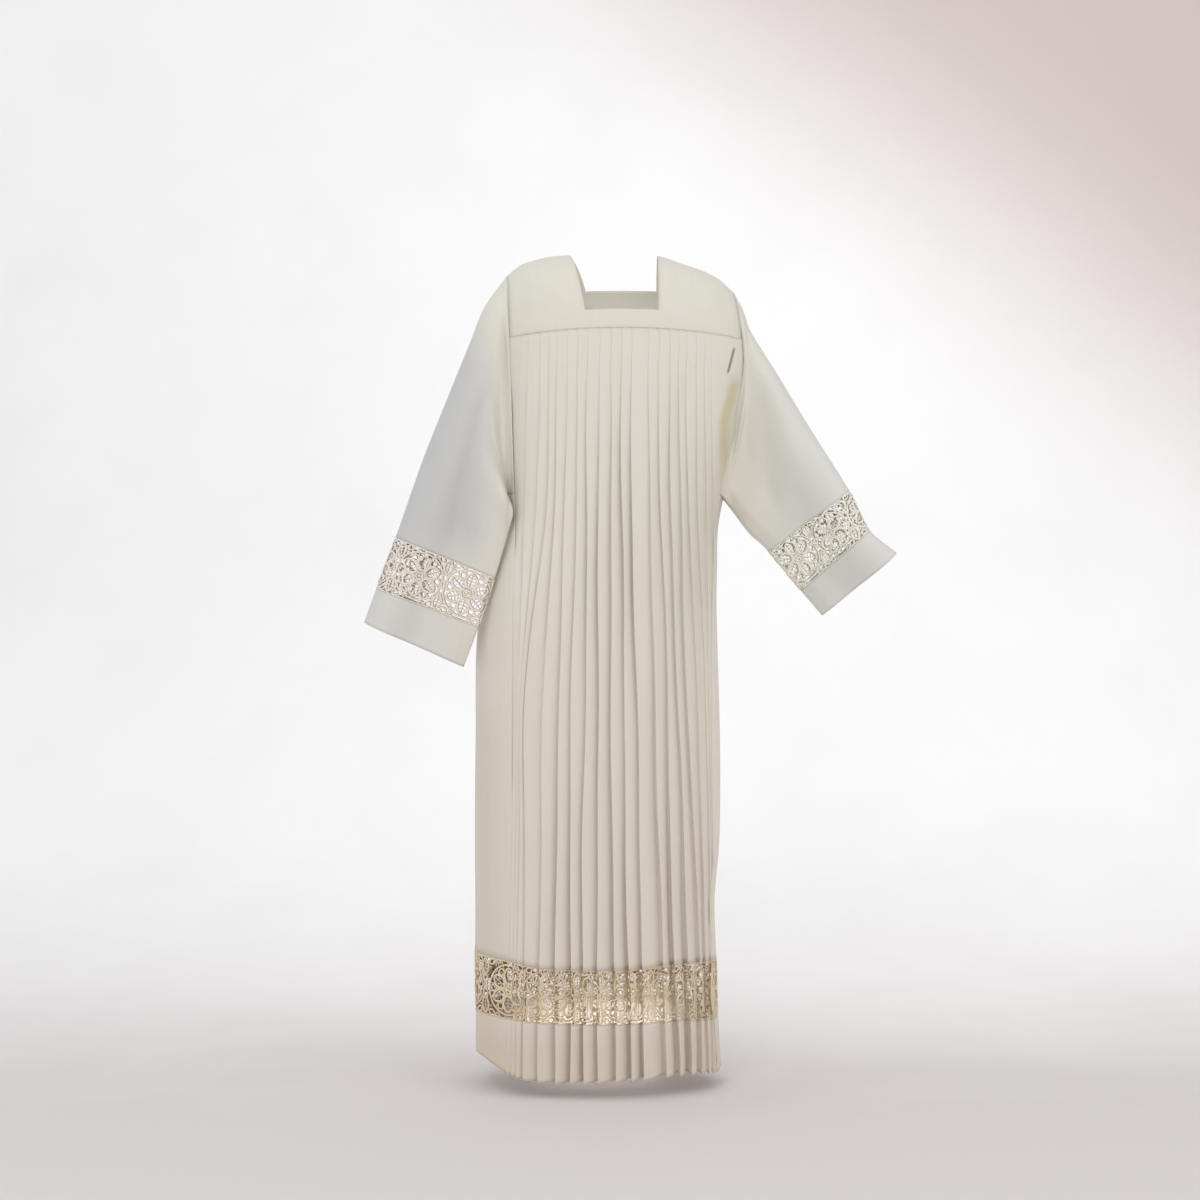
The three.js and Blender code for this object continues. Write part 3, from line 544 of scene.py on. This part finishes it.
def pleatedRow(face, heightAt, tooth=0.0):
    sides = ("Right", "Left") if face == front else ("Left", "Right")
    first, last = (seamPlace(face, side, heightAt) for side in sides)
    rowZ = heightAt(0)
    depth, overhang = read(pleatFold, "z", rowZ, "depth"), read(pleatFold, "z", rowZ, "overhang")
    count = len(pleats["chest"])
    settled = eased(-rowZ, pleats["settleFrom"], pleats["settleTo"])
    fading = eased(-rowZ, pleats["fadeFrom"], pleats["fadeTo"])
    edges, folds = [first[0]], []
    for k in range(count):
        kept = mixed(pleats["sewn"][k], pleats["kept"][k], fading)
        sideways = (k - pleats["deepest"]) / pleats["deepestSpread"]
        heart = exp(-sideways**2 - ((rowZ - pleats["deepestZ"]) / pleats["deepestReach"]) ** 2)
        wave = sin(rowZ / pleats["wanderLong"] + pleats["turnLong"] * k)
        wave += 0.5 * sin(rowZ / pleats["wanderShort"] + pleats["turnShort"] * k)
        wander = pleats["wander"] * wave * settled * kept
        edges.append(mixed(first[0], last[0], pleatShare(k, rowZ)) + wander)
        swell = 1 + pleats["swell"] * sin(rowZ / pleats["swellLong"] + pleats["turnSwell"] * k)
        deep = depth * kept * swell * (1 + pleats["deeper"] * heart)
        folds.append((deep, overhang * kept * (1 + pleats["furtherOver"] * heart)))
    points = [(edges[0], 0, 0, 0)] * 3
    for k in range(count):  # across the pleat's face, down into its fold and back out to the next edge
        (deep, over), start, end = folds[k], edges[k], edges[k + 1]
        width = end - start
        up, down = tooth * pleats["toothProud"], tooth * pleats["toothSunk"]
        for across, forward, inward, fall in pleatProfile:
            points.append((start + width * across, over * forward, deep * inward, mixed(up, down, fall)))
        points += [(end, 0, -0.2, up), (end, 0.4, -0.3, up)]  # tucked just under the next pleat
    width = last[0] - edges[-1]
    points += [(edges[-1] + width * share, 0, 0, 0) for share in (0.2, 0.5, 0.8, 1, 1, 1)]
    row = []
    columns = pleats["columns"] * (count + 1)
    for i in range(columns + 1):
        x, forward, inward, lift = pull(points, i / columns * (len(points) - 3))
        z = heightAt(x)
        angle = angleAt(face, x, z)
        along = outlineTangent(angle, z)
        point = outlinePoint(angle, z) + along * forward + Vector((-along.y, along.x, 0)) * inward
        point.z = z + lift
        row.append(fold("pleated", point))
    return row


def sidePoint(side, share, heightAt):  # share runs from the front seam to the back one
    _, frontZ, frontAngle = seamPlace(front, side, heightAt)
    _, backZ, backAngle = seamPlace(back, side, heightAt)
    angle = mixed(frontAngle + (2 * pi if side == "Right" else 0), backAngle, share)
    x = outlinePoint(angle, mixed(frontZ, backZ, share)).x
    return outlinePoint(angle, heightAt(x))


sideWaves = {  # the soft hang of a side panel: depth, turns across and length down of each wave
    "from": 430, "to": 760, "hush": 0.6, "waves": [(2.6, 11, 260), (1.4, 23, -170)],
}


def sideRow(side, heightAt, columns=36):
    row = []
    for i in range(columns + 1):
        share = i / columns if side == "Left" else 1 - i / columns
        point = sidePoint(side, share, heightAt)
        loose = eased(-point.z, sideWaves["from"], sideWaves["to"])
        wave = sum(deep * sin(share * across + point.z / down) for deep, across, down in sideWaves["waves"])
        hush = sin(pi * share) ** sideWaves["hush"] if 0 < share < 1 else 0
        outward = Vector((copysign(1, point.x), 0, 0))
        row.append(point - outward * wave * loose * hush)
    return row


# Yoke

shoulder = {"x": yoke["shoulderX"], "z": yoke["shoulderZ"]}


def yokeSeamZ(x):
    return yoke["seamZ"] - yoke["seamSag"] * min(abs(x) / yoke["seamReach"], 1) ** 2


def yokeEdge(across, down):
    top, bottom = (shoulder["x"][0], bodyForm["frontRight"][0]) if across < 0 else (
        shoulder["x"][-1], bodyForm["frontLeft"][0])
    return abs(mixed(top, bottom, down))


def yokePoint(face, across, down):
    atSeam = across * yokeEdge(across, 1)
    ridge = read(shoulder, "x", across * yokeEdge(across, 0), "z")
    seamZ = yokeSeamZ(atSeam)
    depth = outlinePoint(angleAt(face, atSeam, seamZ), seamZ).y
    turn = down * pi / 2
    return Vector((across * yokeEdge(across, down), depth * sin(turn), mixed(seamZ, ridge, cos(turn))))


def neckDown(face, x):
    z = yoke["neckFrontZ"] if face == front else yoke["neckBackZ"]
    ridge, seamZ = read(shoulder, "x", x, "z"), yokeSeamZ(x)
    return acos((z - seamZ) / (ridge - seamZ)) / (pi / 2)


def yokeRows(face):
    rightDown, leftDown = neckDown(face, yoke["neckRightAtChest"]), neckDown(face, yoke["neckLeft"])
    side, bottom = yoke["sideLines"], yoke["bottomLines"]

    def rightX(share):
        return mixed(yoke["neckRightAtShoulder"], yoke["neckRightAtChest"], share)

    lines = [((rightX(i / side), i / side * rightDown), (-1, i / side)) for i in range(side + 1)]
    for i in range(1, bottom):
        share = i / bottom
        inner = (mixed(rightX(1), yoke["neckLeft"], share), mixed(rightDown, leftDown, share))
        lines.append((inner, (mixed(-1, 1, share), 1)))
    lines += [((yoke["neckLeft"], i / side * leftDown), (1, i / side)) for i in range(side, -1, -1)]
    if face == back:
        lines.reverse()
    rows, cuts = [], []
    for r in range(yoke["rows"] + 1):
        row, cut = [], []
        for (x, down), (across, outerDown) in lines:
            start = x / yokeEdge(x, down)
            a, d = mixed(start, across, r / yoke["rows"]), mixed(down, outerDown, r / yoke["rows"])
            point = yokePoint(face, a, d)
            row.append(fold("yoke", point) if yoke["creasedFrom"] < d < yoke["creasedTo"] else point)
            cut.append((point.x * mm, -d * yoke["clothDrop"]))
        rows.append(row)
        cuts.append(cut)
    return rows, cuts


# Sleeves


def armholePoint(side, down, lateral):
    sign = 1 if side == "Left" else -1
    top = yokePoint(front, sign, 0)
    z = top.z - down * (top.z - bodyForm["underarmZ"])
    if abs(lateral) == 1:
        face = int(lateral)
        seamZ = yokeSeamZ(yokeEdge(sign, 1))
        if z > seamZ:
            share = acos(min(max((z - seamZ) / (top.z - seamZ), 0), 1)) / (pi / 2)
            point = yokePoint(face, sign, share)
        else:
            point = outlinePoint(angleAt(face, seamX(face, side, z), z), z)
    elif down == 0:
        point = top
    else:
        point = sidePoint(side, (lateral + 1) / 2, lambda _: bodyForm["underarmZ"])
    point.x += sign * 0.2
    return point


def sleeveLine(form, share, name):
    return Vector([read(form, "share", share, name + axis) for axis in "XYZ"])


def sleevePoint(form, share, down, lateral):
    top, low = sleeveLine(form, share, "top"), sleeveLine(form, share, "low")
    axis = sleeveLine(form, min(share + 0.02, 1), "top") - sleeveLine(form, max(share - 0.02, 0), "top")
    drop = low - top
    length = drop.length
    slant = axis.normalized().cross(drop / length).length
    arm, hang = read(form, "share", share, "arm"), read(form, "share", share, "hang")
    distance, left = down * length * slant, (1 - down) * length
    rounded = sqrt(max(arm**2 - max(arm - distance, 0) ** 2, 0))
    easing = eased(distance, arm, arm * sleeveForm["armToCloth"])
    lower = mixed(sleeveForm["foldHalf"], hang, sqrt(min(left / sleeveForm["foldRounding"], 1)))
    half = mixed(rounded, min(hang, lower), easing)
    return top + drop * down + Vector((0, half * lateral, 0))


def ringPlaces(side, steps=38, under=4):
    downs = [(1 - cos(pi * i / steps)) / 2 for i in range(1, steps + 1)]
    places = [(0, 0)] + [(down, -1) for down in downs]
    places += [(1, mixed(-1, 1, i / under)) for i in range(1, under)]
    places += [(down, 1) for down in reversed(downs)] + [(0, 0)]
    return places if side == "Right" else places[::-1]


armholes = {side: [armholePoint(side, *place) for place in ringPlaces(side)] for side in ("Right", "Left")}


def sleeveRows(side, start, end, count):
    return [sleeveRow(side, mixed(start, end, i / count)) for i in range(count + 1)]


def sleeveRow(side, share):
    form, fade = sleeveForm[side], max(1 - share / sleeveForm["blend"], 0) ** 2
    row = []
    for place, edge in zip(ringPlaces(side), armholes[side]):
        shift = edge - sleevePoint(form, 0, *place)
        point = sleevePoint(form, share, *place) + shift * fade
        row.append(fold(side, point) if share > 0.01 else point)
    return row


# Making cloth from rows of points


def walked(points):  # distance walked to each point of a line
    total, marks = 0, [0]
    for a, b in zip(points, points[1:]):
        total += (b - a).length
        marks.append(total)
    return marks


clothThickness, weld = 0.0009, 0.00002  # in metres


def finish(bm, name, node, material, thickness):
    mesh = bpy.data.meshes.new(name)
    bm.to_mesh(mesh)
    bm.free()
    mesh.materials.append(material)
    for polygon in mesh.polygons:
        polygon.use_smooth = True
    obj = bpy.data.objects.new(name, mesh)
    scene.collection.objects.link(obj)
    if thickness:
        solid = obj.modifiers.new("thickness", "SOLIDIFY")
        solid.thickness, solid.offset, solid.use_rim = thickness, -1, True
    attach(obj, "root")
    if node:
        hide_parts(node)
    return obj


def surface(rows):  # in square metres
    total = 0
    for upper, lower in zip(rows, rows[1:]):
        for a, b, c, d in zip(upper, upper[1:], lower, lower[1:]):
            total += (d - a).cross(c - b).length / 2
    return total * mm * mm


def longest(lines):  # in metres
    return max(walked(line)[-1] for line in lines) * mm


def declareCut(obj, rows, flat=None, area=None):  # works out the sheet's flat size, in metres, and its area, but keeps neither
    flat = flat or (longest(rows), longest(zip(*rows)))
    min(area or surface(rows), flat[0] * flat[1])


def makeCloth(node, rows, cuts=None, closed=False):
    across, down = len(rows[0]) - 1, len(rows) - 1
    if not cuts:
        us, vs = walked(rows[down // 2]), walked([row[across // 2] for row in rows])
        cuts = [[(u * mm, -v * mm) for u in us] for v in vs]
    bm = bmesh.new()
    bmesh.ops.create_grid(bm, x_segments=across, y_segments=down, size=1)
    cutLayer = bm.loops.layers.uv.new("cut")
    placeOf = {
        vert: (round((1 - vert.co.y) / 2 * down), round((vert.co.x + 1) / 2 * across)) for vert in bm.verts
    }
    for face in bm.faces:
        for loop in face.loops:
            r, c = placeOf[loop.vert]
            loop[cutLayer].uv = cuts[r][c]
    for vert, (r, c) in placeOf.items():
        vert.co = rows[r][c] * mm
    if closed:
        bmesh.ops.remove_doubles(bm, verts=bm.verts, dist=weld)
    return finish(bm, node + "_panel", node, ivoryCloth, clothThickness)


def heightsBetween(upper, lower, count):
    return [lambda x, share=i / count: mixed(upper(x), lower(x), share) for i in range(count + 1)]


def level(name):
    return lambda x: read(levels, "x", x, name)


def underarm(_):
    return bodyForm["underarmZ"]


clothRows = {}  # the rows of every finished piece, for the seams' stitches

steps = {"panel": 96, "hem": 14, "side": 60, "lace": 10, "sleeve": 84, "cuff": 12}  # rows of mesh, down each
panelHeights = heightsBetween(yokeSeamZ, level("laceTop"), steps["panel"])
hemHeights = heightsBetween(level("laceBottom"), level("hem"), steps["hem"])
sideHeights = heightsBetween(underarm, level("laceTop"), steps["side"])
laceHeights = heightsBetween(level("laceTop"), level("laceBottom"), steps["lace"])

for face, name in ((front, "front"), (back, "back")):
    rows, cuts = yokeRows(face)
    clothRows["yoke_" + name] = rows
    declareCut(makeCloth("yoke_" + name, rows, cuts), rows, yoke["cut"])
    rows = [pleatedRow(face, height) for height in panelHeights]
    clothRows["pleated_" + name] = rows
    declareCut(makeCloth("pleated_" + name, rows), rows)
    rows = [pleatedRow(face, height, i / steps["hem"]) for i, height in enumerate(hemHeights)]
    clothRows["hem_" + name] = rows
    declareCut(makeCloth("hem_" + name, rows), rows)

for side in ("Right", "Left"):
    name = side.lower()
    rows = [sideRow(side, height) for height in sideHeights]
    clothRows["side_" + name] = rows
    made = makeCloth("side_" + name, rows)
    declareCut(made, rows)
    rows = [sideRow(side, height) for height in hemHeights]
    clothRows["hem_side_" + name] = rows
    declareCut(makeCloth("hem_side_" + name, rows), rows)
    rows = sleeveRows(side, 0, sleeveForm["laceTop"], steps["sleeve"])
    clothRows["sleeve_" + name] = rows
    made = makeCloth("sleeve_" + name, rows, closed=True)
    declareCut(made, rows)
    rows = sleeveRows(side, sleeveForm["laceBottom"], 1, steps["cuff"])
    clothRows["cuff_" + name] = rows
    made = makeCloth("cuff_" + name, rows, closed=True)
    declareCut(made, rows)


# Lace: a repeat charted in millimetres, x along the band and y up it, laid again and again on the band

lace = {
    "repeat": 92, "height": 100, "thickness": 0.9,
    "petals": 6, "petalAt": 24, "petalLong": 28, "petalWide": 20, "petalCord": 4,
    "rim": 43.5, "rimCord": 3.4, "eye": 6.2, "eyeCord": 3.2, "bar": 1,
}
stitches = {"pitch": 3.0, "long": 2.1, "thick": 0.32, "roll": 0.8, "rolledWithin": 5}
tiny = 0.000001  # keeps a division from zero


def straight(start, end):
    return lambda p: (mixed(start[0], end[0], p), mixed(start[1], end[1], p))


def oval(centre, long, wide, turn=0.0, point=0.0):
    def path(p):
        angle = 2 * pi * p
        x = long / 2 * cos(angle)
        y = wide / 2 * sin(angle) * (1 - point + point * abs(sin(angle)))
        return centre[0] + x * cos(turn) - y * sin(turn), centre[1] + x * sin(turn) + y * cos(turn)
    return path


cordStep = 0.004  # share of a cord's length, either way, that gives its direction


def layCord(bm, path, width, segments, base=0.0, lift=0.6):
    cordLayer = bm.loops.layers.uv.verify()
    crown = bm.verts.layers.float["crown"]
    made = bmesh.ops.create_grid(bm, x_segments=segments, y_segments=2, size=1)["verts"]
    placed = {}
    for vert in made:
        p, side = (vert.co.x + 1) / 2, vert.co.y
        (ax, ay), (bx, by) = path(p - cordStep), path(p + cordStep)
        x, y = path(p)
        run = hypot(bx - ax, by - ay) or 1
        out = side * width / 2 / run
        vert.co = (x - (by - ay) * out, y + (bx - ax) * out, base + lift * (1 - abs(side)))
        vert[crown] = 1 - abs(side)
        placed[vert] = (p * run / (2 * cordStep) * mm, side * width / 2 * mm)
    for face in {face for vert in made for face in vert.link_faces}:
        for loop in face.loops:
            loop[cordLayer].uv = placed[loop.vert]


def chartRepeat(bm):
    half, top, bar = lace["repeat"] / 2, lace["height"] / 2, lace["bar"]
    layCord(bm, oval((0, 0), lace["eye"] * 2, lace["eye"] * 2), lace["eyeCord"], 12, 0.5)
    layCord(bm, oval((0, 0), 3.4, 3.4), 3, 6, 0.3)
    layCord(bm, oval((0, 0), lace["rim"] * 2, lace["rim"] * 2), lace["rimCord"], 40, 0.5, 0.8)
    for i in range(lace["petals"]):
        turn = pi / 6 + 2 * pi * i / lace["petals"]
        cx, cy, at = cos(turn), sin(turn), lace["petalAt"]
        petal = oval((cx * at, cy * at), lace["petalLong"], lace["petalWide"], turn, 0.2)
        layCord(bm, petal, lace["petalCord"], 18, 0.6, 0.9)
        layCord(bm, straight((cx * 12, cy * 12), (cx * 36, cy * 36)), 1.6, 3, 0.2)  # the vein and its bars
        for along, reach in ((16, 7), (22, 9), (28, 8)):
            for sign in (-1, 1):
                start = (cx * along, cy * along)
                end = (cx * (along + 3) - cy * reach * sign, cy * (along + 3) + cx * reach * sign)
                layCord(bm, straight(start, end), bar, 1, 0, 0.3)
        for aside in (-0.34, 0.34):
            tx, ty = cos(turn + aside), sin(turn + aside)
            layCord(bm, straight((tx * 33, ty * 33), (tx * 43, ty * 43)), 2, 1, 0.1)
        gap = turn + pi / lace["petals"]
        gx, gy = cos(gap), sin(gap)
        layCord(bm, straight((gx * 7, gy * 7), (gx * 28, gy * 28)), 2.6, 3, 0.2)
        layCord(bm, oval((gx * 33.5, gy * 33.5), 12, 11, gap), 2.8, 10, 0.3)
        layCord(bm, straight((gx * 38, gy * 38), (gx * 43, gy * 43)), 2.6, 1, 0.1)
    for sign in (-1, 1):
        y = sign * 33
        layCord(bm, oval((half, y), 27, 15, pi / 2, 0.3), 4, 14, 0.5, 0.8)
        layCord(bm, straight((half, sign * 20), (half, sign * 46)), 2, 3, 0.1)
        for step in (27, 33, 39):
            for aside in (-6, 6):
                start, end = (half, sign * step), (half + aside, sign * (step + 2.5))
                layCord(bm, straight(start, end), bar, 1, 0, 0.3)
        layCord(bm, oval((half, sign * 12), 11, 11), 3.2, 10, 0.3)
        for aside in (-1, 1):
            layCord(bm, oval((half + aside * 15, sign * 43.5), 12, 9, 0.5 * sign * aside), 3.2, 10, 0.2)
            layCord(bm, oval((half + aside * 27.5, sign * 46), 9, 6), 2.6, 8, 0.2)
            layCord(bm, straight((half + aside * 8, sign * 34), (half + aside * 14, sign * 33)), 2.6, 1, 0.1)
        edge = sign * (top - 1)
        layCord(bm, straight((-0.2, edge), (lace["repeat"] + 0.2, edge)), 2, 18, 0.2)
    layCord(bm, oval((half, 0), 8, 8), 3.4, 8, 0.3)


def makeLace(name, rows, closed=False):
    marks = walked(rows[len(rows) // 2])
    length, height = marks[-1], walked([row[len(row) // 2] for row in rows])[-1]
    repeats = max(round(length / lace["repeat"] / (height / lace["height"])), 1)
    columns, last = len(rows[0]) - 1, len(rows) - 1

    def gridAt(column, r, across, down):
        top = rows[r][column].lerp(rows[r][column + 1], across)
        return top + (rows[r + 1][column].lerp(rows[r + 1][column + 1], across) - top) * down

    bm = bmesh.new()
    bm.loops.layers.uv.new("cord")
    bm.verts.layers.float.new("crown")
    chartRepeat(bm)
    whole = bm.verts[:] + bm.edges[:] + bm.faces[:]
    for i in range(1, repeats):
        copied = bmesh.ops.duplicate(bm, geom=whole)["geom"]
        moved = [part for part in copied if isinstance(part, bmesh.types.BMVert)]
        bmesh.ops.translate(bm, verts=moved, vec=(lace["repeat"] * i, 0, 0))
    total = lace["repeat"] * repeats
    column = 0
    for vert in sorted(bm.verts, key=lambda vert: vert.co.x):
        x, y, lift = vert.co
        walk = x / total * length
        if closed:
            walk %= length
            if walk < marks[column]:
                column = 0
        while column < columns - 1 and marks[column + 1] < walk:
            column += 1
        while column > 0 and marks[column] > walk:
            column -= 1
        across = (walk - marks[column]) / max(marks[column + 1] - marks[column], tiny)
        down = (0.5 - y / lace["height"]) * last
        r = min(max(int(floor(down)), 0), last - 1)
        point = gridAt(column, r, across, down - r)
        along = rows[r][column + 1] - rows[r][column]
        normal = along.cross(rows[r][column] - rows[r + 1][column])
        normal.normalize()
        vert.co = (point + normal * (lift + 0.1)) * mm
    area = sum(face.calc_area() for face in bm.faces)
    made = finish(bm, name + "_panel", name, goldenLace, lace["thickness"] * mm)
    declareCut(made, rows, area=area)


for face, name in ((front, "front"), (back, "back")):
    rows = [pleatedRow(face, height) for height in laceHeights]
    makeLace("lace_" + name, rows)
for side in ("Right", "Left"):
    name = side.lower()
    rows = [sideRow(side, height) for height in laceHeights]
    makeLace("lace_side_" + name, rows)
    rows = sleeveRows(side, sleeveForm["laceTop"], sleeveForm["laceBottom"], steps["lace"])
    makeLace("sleeve_lace_" + name, rows, closed=True)


# Stitches


def insetLine(rows, inset):  # a line that keeps the given distance from the first row
    line = []
    for column in zip(*rows):
        marks = walked(column)
        i = 1
        while i < len(marks) - 1 and marks[i] < inset:
            i += 1
        share = (inset - marks[i - 1]) / max(marks[i] - marks[i - 1], tiny)
        line.append(column[i - 1].lerp(column[i], share))
    return line


def sewLine(bm, line):
    marks, thick = walked(line), stitches["thick"]
    i = 0
    for n in range(int(marks[-1] / stitches["pitch"])):
        at = (n + 0.5) * stitches["pitch"]
        while i < len(marks) - 2 and marks[i + 1] < at:
            i += 1
        direction = (line[i + 1] - line[i]).normalized()
        here = line[i].lerp(line[i + 1], (at - marks[i]) / max(marks[i + 1] - marks[i], tiny))
        place = Matrix.Translation(here * mm) @ direction.to_track_quat("X", "Z").to_matrix().to_4x4()
        size = Matrix.Diagonal((stitches["long"] / 2 * mm, thick * mm, thick * mm, 1))
        bmesh.ops.create_icosphere(bm, subdivisions=1, radius=1, matrix=place @ size)


def rollEdge(bm, line, sides=6):  # the turned edge that covers a seam
    last = len(line) - 1
    for vert in bmesh.ops.create_grid(bm, x_segments=last, y_segments=sides, size=1)["verts"]:
        i, turn = round((vert.co.x + 1) / 2 * last), (vert.co.y + 1) * pi
        along = (line[min(i + 1, last)] - line[max(i - 1, 0)]).normalized()
        outward = along.cross(Vector((0, 0, 1))).normalized()
        reach = stitches["roll"] * min(i, last - i, 2) / 2
        vert.co = (line[i] + outward * cos(turn) * reach + along.cross(outward) * sin(turn) * reach) * mm
    bmesh.ops.remove_doubles(bm, verts=bm.verts, dist=weld / 2)
    bmesh.ops.recalc_face_normals(bm, faces=bm.faces)


def makeStitches(name, seams):  # each seam is a piece, whether it is taken from the last row, and the inset
    whole = bmesh.new()
    for piece, fromLast, inset in seams:
        rows = clothRows[piece][::-1] if fromLast else clothRows[piece]
        if piece.startswith("yoke") and fromLast:  # only along the bottom of the yoke
            rows = [row[yoke["sideLines"]:yoke["sideLines"] + yoke["bottomLines"] + 1] for row in rows]
        line = insetLine(rows, inset)
        bm = bmesh.new()
        if piece.startswith("yoke") and fromLast and inset < stitches["rolledWithin"]:
            rollEdge(bm, insetLine(rows, 0))
        sewLine(bm, line)
        part = bpy.data.meshes.new("seam")
        bm.to_mesh(part)
        bm.free()
        whole.from_mesh(part)
        bpy.data.meshes.remove(part)
    finish(whole, name, None, sewingThread, 0)


for name in ("front", "back"):
    makeStitches("stitches_" + name, [
        ("yoke_" + name, True, 2.5), ("yoke_" + name, True, 11), ("yoke_" + name, False, 6),
        ("pleated_" + name, True, 2), ("hem_" + name, False, 2), ("hem_" + name, True, 22),
    ])
for name in ("right", "left"):
    makeStitches("stitches_" + name, [
        ("side_" + name, True, 2), ("hem_side_" + name, False, 2), ("hem_side_" + name, True, 22),
        ("sleeve_" + name, True, 2), ("sleeve_" + name, False, 2.5),
        ("cuff_" + name, False, 2), ("cuff_" + name, True, 20),
    ])
